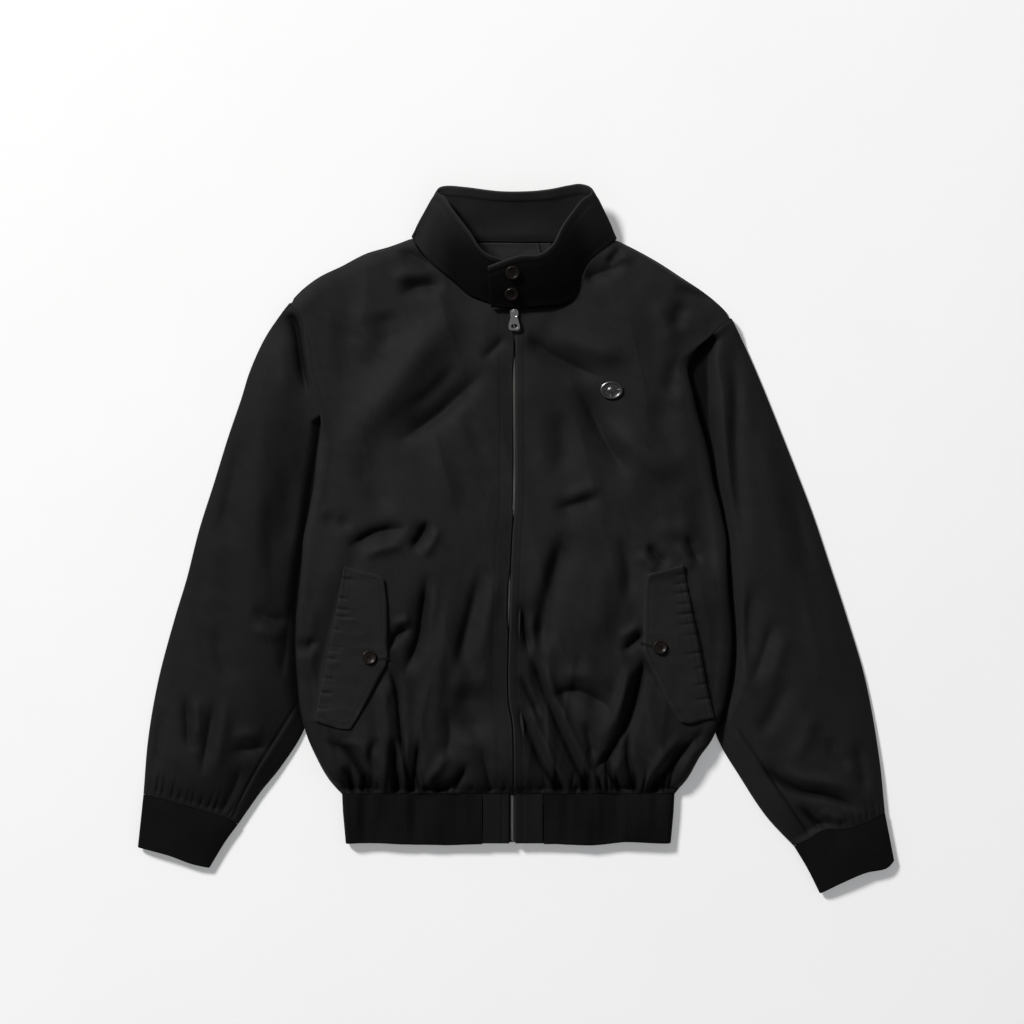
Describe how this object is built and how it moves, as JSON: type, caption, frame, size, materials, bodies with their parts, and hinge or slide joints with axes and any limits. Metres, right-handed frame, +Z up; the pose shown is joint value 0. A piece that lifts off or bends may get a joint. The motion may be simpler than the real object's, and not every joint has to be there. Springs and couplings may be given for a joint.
{
  "type": "harrington jacket laid flat",
  "caption": "Black cotton harrington jacket laid flat, front up: stand-up collar, front zip, slanted flap pockets, rib cuffs and hem band.",
  "frame": {"origin": "on the surface the jacket lies on, under the middle of its outline", "axes": "+X to the wearer's left, +Y to the collar, +Z up off the surface, out of the jacket's front"},
  "size_m": [0.83, 0.776, 0.052],
  "materials": {
    "cotton": "tightly woven black cotton with a soft low sheen",
    "rib": "black rib knit, matt",
    "patch": "plain black woven patch, satin",
    "zip_tape": "black woven zip tape, matt",
    "button": "very dark brown, polished",
    "polished_metal": "polished nickel, bright"
  },
  "bodies": {
    "jacket": {"back": "cotton", "front_right": "cotton", "front_left": "cotton", "sleeve_right": "cotton", "sleeve_left": "cotton", "cuff_right": "rib", "cuff_left": "rib", "hem_rib": "rib", "hem_tab_right": "cotton", "hem_tab_left": "cotton", "collar_outer": "cotton", "collar_inner": "cotton", "neck_patch": "patch", "flap_right": "cotton", "flap_left": "cotton", "zip_tape_right": "zip_tape", "zip_tape_left": "zip_tape", "zip_slider": "polished_metal", "collar_button_upper": "button", "collar_button_lower": "button", "flap_button_right": "button", "flap_button_left": "button", "badge": "polished_metal"},
    "zip_pull": {"zip_pull": "polished_metal"}
  },
  "joints": [
    {"name": "pull_hinge", "type": "hinge", "parent": "jacket", "child": "zip_pull", "pos_m": [-0.002, 0.2494, 0.02405], "axis": [-1, 0, 0], "range_deg": [0, 90]}
  ]
}
